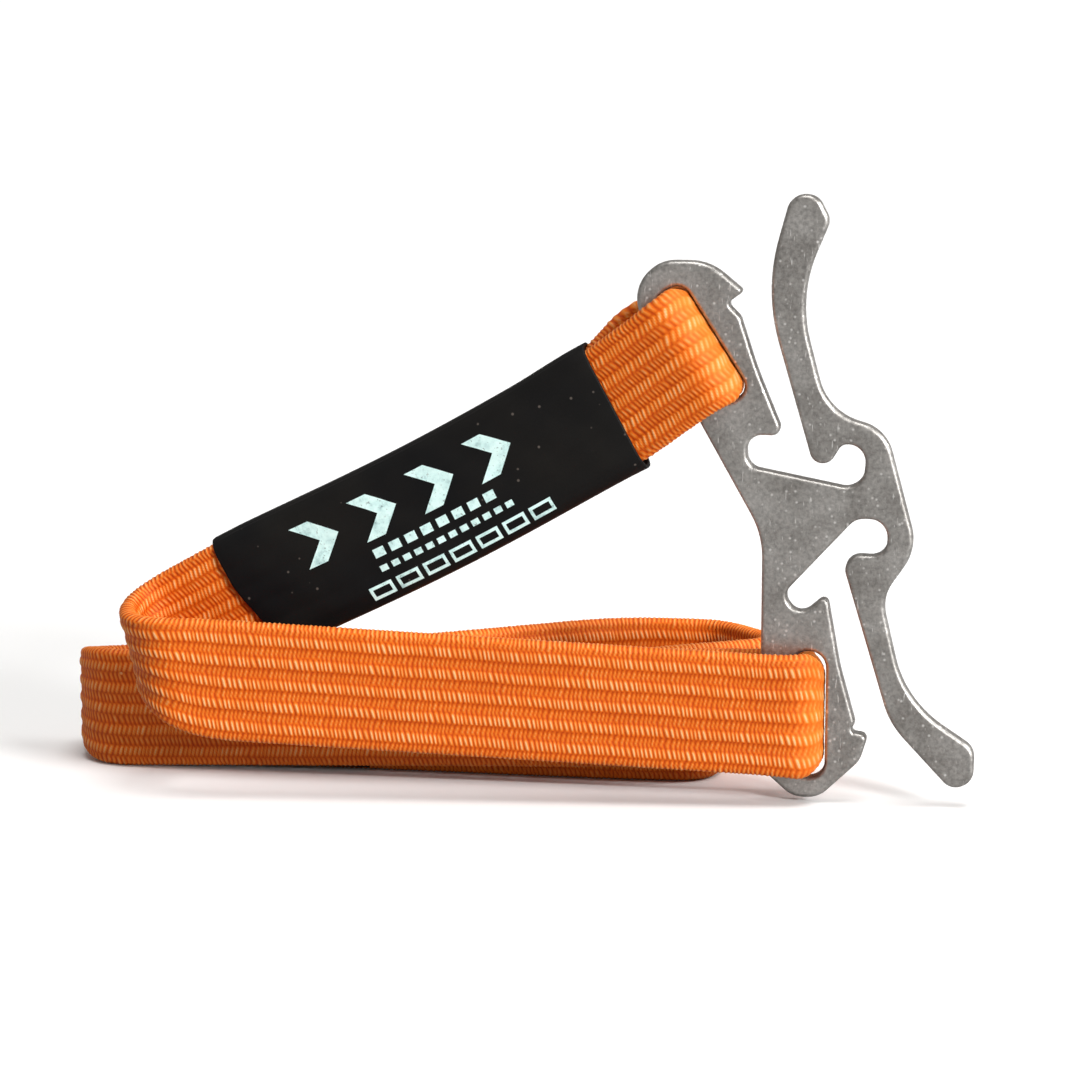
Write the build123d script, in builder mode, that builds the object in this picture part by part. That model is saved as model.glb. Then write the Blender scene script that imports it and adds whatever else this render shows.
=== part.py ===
"""Elastic-strap cleat tourniquet, stood on its strap's edge in a folded bundle.

Frame: millimetres, +Z up, floor at Z = 0. X runs along the bundle towards the cleat, and Y runs
back through the bundle's folds. The origin is the middle of the footprint.

One flat elastic strap runs all the way: its folded end is held in a black sleeve, its loop goes
round the cleat's upper bar, it runs forward to a bend at the left, back to the lower bar, through
the lower slot, round a bend at the far left, and then lies in folds behind, with its tail tucked in.
"""

import math
import os

from build123d import *

os.makedirs("parts", exist_ok=True)

# ---- strap ----
strap_width = 19.0
strap_thick = 3.2
strap_bevel = 0.8
sheath_wall = 0.5
strand_count = 5
strand_width = 3.3
strand_thick = 1.9
strand_pitch = 3.55

# ---- cleat ----
plate_y = -14.5
plate_thick = 3.0
plate_round = 0.7
fold_radius = 4.2
lower_slot_round = 2.6
upper_slot_round = 2.3
lower_slot = (5.5, 20.6)
lower_slot_at = (48.55, 14.1)
upper_slot = (5.2, 20.2)
upper_slot_at = (31.08, 73.16)
upper_slot_lean = 32.7

# ---- anchor sleeve ----
sleeve_lean = 28.3
sleeve_long = 69.0
sleeve_left = (-43.3, 30.4)
sleeve_wall = 0.6
sleeve_half_gap = 3.8
sleeve_room = 0.2
layer_offset = 1.75
stitch_thick = 0.35
stitch_clear = 0.02
tack_at = (9.0, 58.0)
tack_size = (2.2, 15.0)

# ---- strap folds: centre (X, Y, Z), mean radius, lean of the bend's axis ----
upper_fold_at = Vector(28.06, plate_y, 71.22)
front_bend_at = Vector(-52.65, plate_y - 7.6, 22.06)
front_bend_radius = 6.2
front_bend_lean = 12.7
front_bend_slope = -15.6
run_heading = 5.65
lower_fold_at = Vector(45.1, plate_y, 14.1)
lower_fold_slope = -3.0
far_bend_at = Vector(-65.4, plate_y + 12.6, 0.0)
far_bend_radius = 8.0
far_bend_foot = 0.1
join_gap = 0.1
last_run = 30.0
last_run_rise = 2.1

# ---- tail: fold corners in plan (X, Y from the plate's middle plane) and their radii ----
tail_corners = [
    (-65.3, 20.6),
    (-23.7, 20.6),
    (12.8, 43.0),
    (30.0, 43.2),
    (41.5, 31.4),
    (13.5, 15.6),
    (-50.3, 17.2),
    (-50.3, 13.2),
    (13.0, 12.2),
    (31.8, 19.2),
    (31.8, 9.3),
    (14.0, 8.4),
    (-58.0, 8.9),
]
tail_radii = [40.0, 30.0, 10.0, 4.0, 15.0, 1.95, 1.95, 20.0, 3.0, 5.0, 60.0]
tail_sleeve_long = 34.0
tail_squeeze = 0.7
tail_sleeve_walls = (0.3, 0.6)
tail_sleeve_room = 0.35
tail_sleeve_shift = 0.12
tail_sleeve_round = 1.2

# ---- sleeve print: each row's place on the sleeve's front, from its left end and its middle line ----
print_thick = 0.12
arrow_row = (16.5, 3.4, 10.6, 4)
dash_row = (24.5, -2.4, 2.9, 8)
fine_dash_row = (24.0, -5.0, 2.1, 12)
link_row = (22.0, -8.2, 4.9, 7)
arrow_half = 3.6
arrow_notch = 0.4
dash_size = (1.9, 1.5)
fine_dash_size = (1.3, 1.0)
link_size = (4.0, 2.2)
link_line = 0.5
link_round = 0.6

BACK = Vector(0, 1, 0)


def lean_vector(degrees):
    """A unit vector in the XZ plane, that many degrees up from +X."""
    angle = math.radians(degrees)
    return Vector(math.cos(angle), 0, math.sin(angle))


def station(centre, along, across):
    """The plane across the strap, with its thickness along x and its width along y."""
    return Plane(origin=centre, x_dir=across.cross(along), z_dir=along)


def wrap(centre, lean, radius, start, end, slope=0.0, steps=6):
    """Stations of a bend round a leaning axis. Angles run from the right (0) to the back (90)."""
    right = lean_vector(lean)
    axis = right.cross(BACK)
    way = 1 if end > start else -1
    middle = (start + end) / 2
    rise = math.radians(slope)
    planes = []
    for i in range(steps + 1):
        turn = start + (end - start) * i / steps
        angle = math.radians(turn)
        radial = right * math.cos(angle) + BACK * math.sin(angle)
        circle = (BACK * math.cos(angle) - right * math.sin(angle)) * way
        travelled = radius * math.radians(abs(turn - start)) - radius * math.radians(abs(middle - start))
        along = circle * math.cos(rise) + axis * math.sin(rise)
        across = axis * math.cos(rise) - circle * math.sin(rise)
        planes.append(station(centre + radial * radius + axis * (travelled * math.tan(rise)), along, across))
    return planes


def sleeve_station(distance, offset, way):
    """A station inside the anchor sleeve, that far from its left end and that far behind its middle."""
    along = lean_vector(sleeve_lean)
    at = Vector(sleeve_left[0], plate_y + offset, sleeve_left[1]) + along * distance
    return station(at, along * way, along.cross(BACK))


def loop_segments():
    """The strap from its folded end to the far bend, as lists of stations. Bends have seven."""
    rear = [sleeve_station(5.0, layer_offset, 1), sleeve_station(sleeve_long, layer_offset, 1)]
    upper = wrap(upper_fold_at, upper_slot_lean, fold_radius, 90, -90)
    front = [sleeve_station(sleeve_long, -layer_offset, -1), sleeve_station(0.0, -layer_offset, -1)]
    bend = wrap(front_bend_at, front_bend_lean, front_bend_radius, 90, 270 + run_heading, front_bend_slope)
    lower = wrap(lower_fold_at, 0.0, fold_radius, -90 + run_heading, 90, lower_fold_slope)
    along = lean_vector(180 + last_run_rise)
    foot = far_bend_foot + strap_width / 2
    end = Vector(far_bend_at.X + join_gap, far_bend_at.Y - far_bend_radius, foot)
    last = station(end, Vector(-1, 0, 0), Vector(0, 0, 1))
    before_last = station(end - along * last_run, along, along.cross(BACK) * -1)
    return [
        rear,
        [rear[-1], upper[0]],
        upper,
        [upper[-1], front[0]],
        front,
        [front[-1], bend[0]],
        bend,
        [bend[-1], lower[0]],
        lower,
        [lower[-1], before_last],
        [before_last, last],
    ]


def ribbon(segments, thick, width, shift=0.0, bevel=0.0):
    """A strap-like solid through the stations: bends are smooth and the runs between are straight."""
    with BuildPart() as strip:
        for planes in segments:
            for plane in planes:
                with BuildSketch(plane):
                    with Locations((0, shift)):
                        outline = Rectangle(thick, width)
                    if bevel:
                        chamfer(outline.vertices(), bevel)
            loft(ruled=len(planes) == 2)
    return strip.part


def strand_shift(number):
    """How far a strand's middle lies from the strap's middle, across the width."""
    return (number - (strand_count - 1) / 2) * strand_pitch


def tail_strip(thick, foot, top):
    """An upright strip along the tail's folds, from foot to top."""
    corners = [(x, plate_y + y) for x, y in tail_corners]
    with BuildLine() as route:
        FilletPolyline(*corners, radius=tail_radii)
    with BuildPart() as strip:
        for edge in route.edges():
            with BuildSketch(Plane.XY.offset(foot)):
                trace(lines=[edge], line_width=thick)
            extrude(amount=top - foot)
    return strip.part


def tail_squeezed(strip, squeeze):
    """The strip with its tail end narrowed top and bottom, where the tail sleeve grips it."""
    end_x, end_y = tail_corners[-1]
    middle = (end_x - 1 + (tail_sleeve_long + 1) / 2, plate_y + end_y)
    with BuildPart() as narrowed:
        add(strip)
        for z in (squeeze / 2 - 1, strap_width - squeeze / 2 + 1):
            with Locations((*middle, z)):
                Box(tail_sleeve_long + 1, strap_thick + 1.8, squeeze + 2, mode=Mode.SUBTRACT)
    return narrowed.part


def finish(made, label):
    """Names a piece and writes it."""
    made.part.label = label
    export_step(made.part, f"parts/{label}.step")
    print(label, round(made.part.volume, 1), "mm3")


# ---- cleat: a flat plate with two slotted bars and two hooked arms ----
# Each corner is X, Z and its rounding, clockwise seen from the front.
cleat_corners = [
    (40.9, 43.0, 14.0),
    (16.5, 86.1, 6.0),
    (32.0, 86.2, 8.5),
    (37.6, 81.6, 0.5),
    (35.0, 79.7, 0.8),
    (37.1, 77.6, 1.8),
    (39.8, 69.4, 60.0),
    (44.2, 58.9, 1.3),
    (38.2, 59.0, 2.4),
    (38.5, 53.9, 2.4),
    (56.6, 50.5, 3.0),
    (57.2, 58.1, 2.7),
    (53.2, 57.7, 1.5),
    (51.4, 54.7, 2.0),
    (48.7, 54.7, 2.0),
    (40.7, 81.8, 30.0),
    (44.8, 97.0, 2.9),
    (48.9, 96.6, 2.6),
    (50.9, 92.8, 2.5),
    (46.0, 80.9, 22.0),
    (50.9, 62.7, 9.0),
    (60.1, 60.2, 6.5),
    (65.3, 41.4, 7.5),
    (59.9, 33.4, 7.0),
    (63.9, 16.7, 18.0),
    (75.0, 9.4, 3.0),
    (74.9, 4.1, 2.7),
    (71.5, 2.5, 2.6),
    (61.5, 13.1, 14.0),
    (53.2, 40.3, 2.4),
    (60.6, 40.1, 2.5),
    (60.6, 46.0, 2.8),
    (55.6, 46.0, 3.0),
    (44.3, 33.5, 2.1),
    (46.9, 30.0, 2.1),
    (51.3, 33.8, 0.9),
    (53.5, 22.0, 30.0),
    (56.1, 12.9, 0.9),
    (55.0, 11.5, 0.7),
    (58.2, 11.1, 1.0),
    (56.9, 6.8, 4.5),
    (50.4, 0.5, 4.5),
    (46.2, 0.5, 4.5),
    (40.9, 5.2, 3.6),
]


def cleat():
    front = Plane.XZ.offset(-plate_y + plate_thick / 2)
    points = [(x, z) for x, z, _ in cleat_corners]
    rounding = [r for _, _, r in cleat_corners]
    with BuildPart() as plate:
        with BuildSketch(front):
            with BuildLine():
                FilletPolyline(*points, radius=rounding, close=True)
            make_face()
            with Locations(lower_slot_at):
                RectangleRounded(*lower_slot, lower_slot_round, mode=Mode.SUBTRACT)
            with Locations(Location(upper_slot_at, upper_slot_lean)):
                RectangleRounded(*upper_slot, upper_slot_round, mode=Mode.SUBTRACT)
        extrude(amount=-plate_thick)
        broad = plate.faces().filter_by(Axis.Y).sort_by(SortBy.AREA)[-2:]
        fillet(broad.edges(), plate_round)
    return plate


def strap_loop_sheath():
    segments = loop_segments()
    with BuildPart() as sheath:
        add(ribbon(segments, strap_thick, strap_width, bevel=strap_bevel))
        inside = ribbon(segments, strap_thick - 2 * sheath_wall, strap_width - 2 * sheath_wall)
        add(inside, mode=Mode.SUBTRACT)
    return sheath


def strap_loop_strand(number):
    with BuildPart() as strand:
        add(ribbon(loop_segments(), strand_thick, strand_width, strand_shift(number)))
    return strand


def far_bend():
    """The strap's bend at the far left, which opens and closes as the tail swings."""
    half = strap_thick / 2
    with BuildPart() as bend:
        with BuildSketch(Plane.XY.offset(far_bend_foot)):
            with Locations((far_bend_at.X, far_bend_at.Y)):
                Circle(far_bend_radius + half)
                Circle(far_bend_radius - half, mode=Mode.SUBTRACT)
            right_half = (Align.MIN, Align.CENTER)
            with Locations((far_bend_at.X - join_gap / 2, far_bend_at.Y)):
                Rectangle(4 * far_bend_radius, 4 * far_bend_radius, align=right_half, mode=Mode.SUBTRACT)
        extrude(amount=strap_width)
    return bend


def tail_sheath():
    inner = tail_strip(strap_thick - 2 * sheath_wall, sheath_wall, strap_width - sheath_wall)
    with BuildPart() as sheath:
        add(tail_squeezed(tail_strip(strap_thick, 0.0, strap_width), tail_squeeze))
        add(tail_squeezed(inner, tail_squeeze + sheath_wall), mode=Mode.SUBTRACT)
    return sheath


def tail_strand(number):
    middle = strap_width / 2 + strand_shift(number)
    strip = tail_strip(strand_thick, middle - strand_width / 2, middle + strand_width / 2)
    with BuildPart() as strand:
        add(tail_squeezed(strip, tail_squeeze + sheath_wall + 0.1))
    return strand


def anchor_sleeve():
    """The black shrink sleeve over both layers of the folded end."""
    half = sleeve_half_gap
    room = strap_width / 2 + sleeve_room
    with BuildPart() as sleeve:
        with BuildSketch(sleeve_station(0.0, 0.0, 1)):
            RectangleRounded(2 * (half + sleeve_wall), 2 * (room + sleeve_wall), 1.5)
            RectangleRounded(2 * half, 2 * room, 0.9, mode=Mode.SUBTRACT)
        extrude(amount=sleeve_long)
    return sleeve


def anchor_stitching():
    """Two bar tacks that hold the folded end: the thread that shows on each outer face."""
    with BuildPart() as thread:
        for distance in tack_at:
            for side in (-1, 1):
                middle = side * (layer_offset + strap_thick / 2 + stitch_clear + stitch_thick / 2)
                with BuildSketch(sleeve_station(distance, middle, 1)):
                    Rectangle(stitch_thick, tack_size[1])
                extrude(amount=tack_size[0])
    return thread


def tail_sleeve():
    """The black shrink sleeve on the tail's cut end."""
    end_x, end_y = tail_corners[-1]
    side_wall, edge_wall = tail_sleeve_walls
    inner = strap_thick + 2 * tail_sleeve_room
    with BuildPart() as sleeve:
        with BuildSketch(Plane.YZ.offset(end_x - 0.5)):
            with Locations((plate_y + end_y - tail_sleeve_shift, strap_width / 2)):
                RectangleRounded(inner + 2 * side_wall, strap_width, tail_sleeve_round)
                Rectangle(inner, strap_width - 2 * edge_wall, mode=Mode.SUBTRACT)
        extrude(amount=tail_sleeve_long)
    return sleeve


def row_places(row):
    """The places of a row of marks, from its first place, its pitch and its count."""
    first, across, pitch, count = row
    return [(first + pitch * i, across) for i in range(count)]


def sleeve_marks():
    """Generic printed marks on the sleeve's front: four arrowheads and rows of plain dashes."""
    along = lean_vector(sleeve_lean)
    corner = Vector(sleeve_left[0], plate_y - sleeve_half_gap - sleeve_wall, sleeve_left[1])
    face = Plane(origin=corner, x_dir=along, z_dir=Vector(0, -1, 0))
    with BuildPart() as marks:
        with BuildSketch(face):
            with Locations(*row_places(arrow_row)):
                with BuildLine(mode=Mode.PRIVATE) as arrow:
                    Polyline(
                        (-arrow_half, -arrow_half),
                        (-arrow_notch, -arrow_half),
                        (arrow_half, 0),
                        (-arrow_notch, arrow_half),
                        (-arrow_half, arrow_half),
                        (arrow_notch, 0),
                        close=True,
                    )
                add(make_face(arrow.edges(), mode=Mode.PRIVATE))
            with Locations(*row_places(dash_row)):
                Rectangle(*dash_size)
            with Locations(*row_places(fine_dash_row)):
                Rectangle(*fine_dash_size)
            with Locations(*row_places(link_row)):
                RectangleRounded(*link_size, link_round)
                inside = [side - 2 * link_line for side in link_size]
                RectangleRounded(*inside, link_round / 2, mode=Mode.SUBTRACT)
        extrude(amount=print_thick)
    return marks


finish(cleat(), "cleat_plate")
finish(strap_loop_sheath(), "strap_loop_sheath")
finish(far_bend(), "strap_far_bend")
finish(tail_sheath(), "tail_sheath")
finish(anchor_sleeve(), "anchor_sleeve")
finish(anchor_stitching(), "anchor_stitching")
finish(tail_sleeve(), "tail_sleeve")
finish(sleeve_marks(), "sleeve_print")
for strand_number in range(strand_count):
    finish(strap_loop_strand(strand_number), f"loop_strand_{strand_number + 1}")
    finish(tail_strand(strand_number), f"tail_strand_{strand_number + 1}")
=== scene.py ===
"""Looks of the elastic-strap cleat tourniquet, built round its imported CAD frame.

Everything is in the frame of the CAD model, +Z up. Lengths are worked out in millimetres, and each
mesh is written in metres. The strap is one path with one weave from its folded end to its tail, cut
into pieces where the bodies change or where a seam is out of sight.
"""

import math

import bmesh
import bpy
import numpy as np
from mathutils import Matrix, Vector


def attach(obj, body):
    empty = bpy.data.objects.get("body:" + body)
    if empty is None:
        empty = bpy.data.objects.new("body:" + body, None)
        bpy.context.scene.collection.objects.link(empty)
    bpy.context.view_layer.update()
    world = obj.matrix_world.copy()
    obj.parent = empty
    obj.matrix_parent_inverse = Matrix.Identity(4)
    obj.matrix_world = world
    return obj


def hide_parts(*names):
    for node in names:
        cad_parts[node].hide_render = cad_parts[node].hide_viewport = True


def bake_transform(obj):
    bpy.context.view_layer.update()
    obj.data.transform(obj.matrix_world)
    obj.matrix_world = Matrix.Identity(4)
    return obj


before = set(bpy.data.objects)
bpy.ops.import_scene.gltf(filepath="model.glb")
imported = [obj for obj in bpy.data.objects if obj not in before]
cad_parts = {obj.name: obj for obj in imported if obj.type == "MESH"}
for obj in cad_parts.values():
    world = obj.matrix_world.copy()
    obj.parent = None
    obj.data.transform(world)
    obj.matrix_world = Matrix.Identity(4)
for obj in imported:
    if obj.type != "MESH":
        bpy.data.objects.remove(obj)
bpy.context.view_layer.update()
MM = 0.001

# ---- the strap's route, in millimetres and degrees, as the CAD model has it ----
plate_y = -14.5
strap_width = 19.0
fold_radius = 4.2
layer_offset = 1.75
upper_slot_lean = 32.7
upper_fold_at = np.array((28.06, plate_y, 71.22))
front_bend_at = np.array((-52.65, plate_y - 7.6, 22.06))
front_bend_radius = 6.2
front_bend_lean = 12.7
front_bend_slope = -15.6
run_heading = 5.65
lower_fold_at = np.array((45.1, plate_y, 14.1))
lower_fold_slope = -3.0
far_bend_at = np.array((-65.4, plate_y + 12.6, 9.6))
far_bend_radius = 8.0
last_run = 30.0
last_run_rise = 2.1
folded_end = 5.0
tail_corners = [
    (-65.3, 20.6),
    (-23.7, 20.6),
    (12.8, 43.0),
    (30.0, 43.2),
    (41.5, 31.4),
    (13.5, 15.6),
    (-50.3, 17.2),
    (-50.3, 13.2),
    (13.0, 12.2),
    (31.8, 19.2),
    (31.8, 9.3),
    (14.0, 8.4),
    (-58.0, 8.9),
]
tail_radii = [40.0, 30.0, 10.0, 4.0, 15.0, 1.95, 1.95, 20.0, 3.0, 5.0, 60.0]

# ---- how the soft strap gives: at its slots, at its wide bends and behind the plate ----
upper_press = 0.5
lower_press = 0.46
upper_corner_round = 1.9
lower_corner_round = 3.3
slot_spread = 0.065
slot_spread_long = 6.0
slot_flatness = 0.85
slot_flat_long = 4.2
loop_spread_at = 9.0
loop_spread_back = 2.9
loop_spread_up = 3.3
bend_pinch = 0.05
bend_pinch_long = 8.0
bend_draw = 4.8
bend_draw_long = 9.5
far_draw_low = 2.1
far_draw_low_long = 5.0
far_draw_high = 0.6
far_draw_high_long = 5.5
far_dip = 2.6
far_dip_long = 9.0
draw_power = 1.4

# ---- the two shrink sleeves ----
sleeve_lean = 28.3
sleeve_long = 69.0
sleeve_left = (-43.3, 30.4)
sleeve_half_gap = 3.8
sleeve_wall = 0.6
sleeve_overhang = 1.5
sleeve_round = 3.6
sleeve_drop = 0.35
sleeve_sag = 0.8
sleeve_cut = 2.1
sleeve_flare = 0.5
tail_sleeve_long = 34.0
tail_sleeve_half = 2.2
tail_sleeve_round = 1.3
tail_sleeve_wall = 0.3

# ---- the weave and the rubber under it ----
yarn_pitch = 0.76
ribs = 5
rib_width = 1.96
valley_width = 1.6
face_half = ribs * (rib_width + valley_width) / 2
crown = 1.58
rib_groove = 0.2
edge_reach = 0.95
yarn_height = 0.17
yarn_sink = 0.55
yarn_slant = 0.42
rib_tilt = 0.85
valley_tilt = -0.75
drift_long = 6.0
drift_size = 0.3
slide_lines = 9
slide_long = 17.0
slide_size = 0.09
edge_samples = 5
edge_column = 20
strand_pitch = 3.55
strand_half_width = 1.5
strand_half_thick = 0.8
strand_squareness = 0.55

# ---- the seeds of the random lines ----
yarn_seed = 40
slide_seed = 60
sleeve_seed = 22
fine_wave_seed = 32
tail_sleeve_seed = 51

BACK = np.array((0.0, 1.0, 0.0))
UP = np.array((0.0, 0.0, 1.0))


# ---------------------------------------------------------------- small helpers
def unit(v):
    return v / np.linalg.norm(v, axis=-1, keepdims=True)


def lean_vector(degrees):
    """A unit vector in the XZ plane, that many degrees up from +X."""
    angle = math.radians(degrees)
    return np.array((math.cos(angle), 0.0, math.sin(angle)))


def wander(s, seed, length, size):
    """A smooth random line along s: waves of about that length, up to about that size."""
    rng = np.random.default_rng(seed)
    total = np.zeros_like(np.asarray(s, float))
    for k in range(5):
        wave = length * (0.6 + 0.5 * k) * (0.8 + 0.4 * rng.random())
        total = total + np.sin(2 * np.pi * (s / wave + rng.random())) * (0.7 + 0.5 * rng.random())
    return total * size / 2.6


def near(s, place, length):
    """1 at that place along the strap, fading to 0 over about that length each way."""
    return np.exp(-(((s - place) / length) ** 2))


def smoothstep(x, low, high):
    t = np.clip((x - low) / (high - low), 0, 1)
    return t * t * (3 - 2 * t)


# ---------------------------------------------------------------- the strap's path
def wrap(centre, lean, radius, start, end, slope=0.0, steps=60):
    """Stations (centre, across) of a bend round a leaning axis, from right (0) to back (90)."""
    right = lean_vector(lean)
    axis = np.cross(right, BACK)
    way = 1 if end > start else -1
    middle = (start + end) / 2
    rise = math.radians(slope)
    stations = []
    for turn in np.linspace(start, end, steps + 1):
        angle = math.radians(turn)
        radial = right * math.cos(angle) + BACK * math.sin(angle)
        circle = (BACK * math.cos(angle) - right * math.sin(angle)) * way
        travelled = radius * (math.radians(abs(turn - start)) - math.radians(abs(middle - start)))
        across = axis * math.cos(rise) - circle * math.sin(rise)
        stations.append((centre + radial * radius + axis * (travelled * math.tan(rise)), across))
    return stations


def anchor_sag(u):
    """The slight bow of the sleeve and the strap in it, down the leaning plane, in its middle."""
    first, last = 4, 66
    return -sleeve_sag * np.sin(np.pi * np.clip((u - first) / (last - first), 0, 1)) ** 1.3


def sleeve_station(distance, offset):
    """A station of the leaning stretch, by its distance from the sleeve's left end."""
    along = lean_vector(sleeve_lean)
    across = np.cross(along, BACK)
    at = np.array((sleeve_left[0], plate_y + offset, sleeve_left[1])) + along * distance
    return at + across * anchor_sag(distance), across


def rounded_route(corners, radii, arc_step=0.4):
    """Points along straight runs joined by arcs, from plan corners and their radii."""
    points = [np.array(corners[0], float)]
    for before, corner, after, radius in zip(corners, corners[1:], corners[2:], radii):
        corner = np.array(corner, float)
        back = unit(np.array(before) - corner)
        ahead = unit(np.array(after) - corner)
        half = math.acos(np.clip(back @ ahead, -1, 1)) / 2
        reach = radius / math.tan(half)
        centre = corner + unit(back + ahead) * (radius / math.sin(half))
        first = corner + back * reach - centre
        last = corner + ahead * reach - centre
        turn = math.pi - 2 * half
        steps = max(3, int(radius * turn / arc_step))
        for t in np.linspace(0, 1, steps + 1):
            mixed = first * math.sin((1 - t) * turn) + last * math.sin(t * turn)
            points.append(centre + mixed / math.sin(turn))
    points.append(np.array(corners[-1], float))
    return points


def strap_stations():
    """All stations of the strap, and the marks: the first and last station of each stretch."""
    stations = []
    marks = {}

    def go(name, more):
        marks[name + "_start"] = len(stations)
        stations.extend(more)
        marks[name + "_end"] = len(stations) - 1

    sleeve_steps = 30
    inside = np.linspace(folded_end, sleeve_long, sleeve_steps)
    go("rear", [sleeve_station(u, layer_offset) for u in inside])
    spread, across = sleeve_station(sleeve_long + loop_spread_at, layer_offset + loop_spread_back)
    go("spread", [(spread + across * loop_spread_up, across)])
    pressed = upper_fold_at + upper_press * lean_vector(upper_slot_lean)
    go("upper", wrap(pressed, upper_slot_lean, fold_radius, 90, -90))
    back_down = np.linspace(sleeve_long, 0.0, sleeve_steps)
    go("front", [sleeve_station(u, -layer_offset) for u in back_down])
    bend_end = 270 + run_heading
    go("bend", wrap(front_bend_at, front_bend_lean, front_bend_radius, 90, bend_end, front_bend_slope))
    pressed = lower_fold_at + lower_press * lean_vector(0.0)
    go("lower", wrap(pressed, 0.0, fold_radius, run_heading - 90, 90, lower_fold_slope))
    end = far_bend_at + (0, -far_bend_radius, 0)
    along = lean_vector(180 + last_run_rise)
    go("rise", [(end - along * last_run, -np.cross(along, BACK))])
    turns = np.radians(np.linspace(-90, -270, 61))
    far = [far_bend_at + far_bend_radius * np.array((math.cos(a), math.sin(a), 0)) for a in turns]
    go("far", [(p, UP) for p in far])
    plan = rounded_route([(x, plate_y + y) for x, y in tail_corners], tail_radii)
    go("tail", [(np.array((p[0], p[1], far_bend_at[2])), UP) for p in plan])
    return stations, marks


def blur(values, sigma, step):
    """Gaussian smoothing along the first axis, with the two ends held."""
    reach = int(4 * sigma / step)
    kernel = np.exp(-0.5 * (np.arange(-reach, reach + 1) * step / sigma) ** 2)
    kernel /= kernel.sum()
    before = 2 * values[:1] - values[reach:0:-1]
    after = 2 * values[-1:] - values[-2:-reach - 2:-1]
    padded = np.concatenate([before, values, after])
    return np.stack([np.convolve(padded[:, k], kernel, "valid") for k in range(values.shape[1])], 1)


class Path:
    """The whole strap's centre line, with its across direction, by distance along it."""

    step = 0.25
    centre_blur = 1.1
    across_blur = 2.5

    def __init__(self):
        stations, marks = strap_stations()
        centres = np.array([c for c, _ in stations])
        across = np.array([a for _, a in stations])
        gaps = np.linalg.norm(np.diff(centres, axis=0), axis=1)
        keep = np.concatenate([[True], gaps > 1e-6])
        travelled = np.concatenate([[0], np.cumsum(gaps)])
        self.mark = {name: float(travelled[i]) for name, i in marks.items()}
        self.long = float(travelled[-1])
        self.s = np.arange(0, self.long + self.step / 2, self.step)
        self.p = blur(self.resample(travelled[keep], centres[keep]), self.centre_blur, self.step)
        self.w = blur(self.resample(travelled[keep], across[keep]), self.across_blur, self.step)
        self.a = unit(np.gradient(self.p, axis=0))
        self.w = unit(self.w - (self.w * self.a).sum(1, keepdims=True) * self.a)

    def resample(self, at, values):
        return np.stack([np.interp(self.s, at, values[:, k]) for k in range(3)], 1)

    def at(self, s):
        """Centre, along, across and thickness directions at distances s."""
        p, a, w = (
            np.stack([np.interp(s, self.s, v[:, k]) for k in range(3)], 1)
            for v in (self.p, self.a, self.w)
        )
        a = unit(a)
        w = unit(w - (w * a).sum(1, keepdims=True) * a)
        return p, a, w, np.cross(w, a)


path = Path()


def middle_of(name):
    """The distance along the strap to the middle of that stretch."""
    return (path.mark[name + "_start"] + path.mark[name + "_end"]) / 2


def corner_inset(s, radius):
    """How far a fold's edges draw in, so that its two corners look round from the front."""
    turn = np.clip(s / fold_radius, -np.pi / 2, np.pi / 2)
    depth = np.minimum((fold_radius + crown) * (1 - np.cos(turn)), radius)
    return radius - np.sqrt(radius**2 - (radius - depth) ** 2)


def edge_draw(s, c):
    """How far the strap's two edges are drawn across it, where it turns round its two wide bends."""
    far = middle_of("far")
    low = bend_draw * near(s, middle_of("bend"), bend_draw_long)
    low += far_draw_low * near(s, far, far_draw_low_long)
    high = -far_draw_high * near(s, far, far_draw_high_long)
    high -= far_dip * near(s, far + far_dip_long, far_dip_long)
    lower = np.clip(0.5 - c / strap_width, 0, 1.1) ** draw_power
    upper = np.clip(0.5 + c / strap_width, 0, 1.1) ** draw_power
    return low[:, None] * lower[None, :] + high[:, None] * upper[None, :]


def fold_flatness(s):
    """Nearly 1 where the weave is stretched flat round a slot's edge, and 0 elsewhere."""
    upper = near(s, middle_of("upper"), slot_flat_long)
    return slot_flatness * (upper + near(s, middle_of("lower"), slot_flat_long))


def width_share(s):
    """The strap's width as a share of its plain width: less at the front bend, more in the slots."""
    share = 1 - bend_pinch * near(s, middle_of("bend"), bend_pinch_long)
    for fold, radius in (("upper", upper_corner_round), ("lower", lower_corner_round)):
        middle = middle_of(fold)
        inset = 2 * corner_inset(s - middle, radius) / strap_width
        share += slot_spread * near(s, middle, slot_spread_long) - inset
    return share


# ---------------------------------------------------------------- mesh writing
def ring_faces(rings, around):
    """The quads between closed rings of points, as rows of four point numbers."""
    i = np.arange(rings - 1)[:, None]
    j = np.arange(around)[None, :]
    a = i * around + j
    b = i * around + (j + 1) % around
    return np.stack([a, b, b + around, a + around], -1).reshape(-1, 4)


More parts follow.
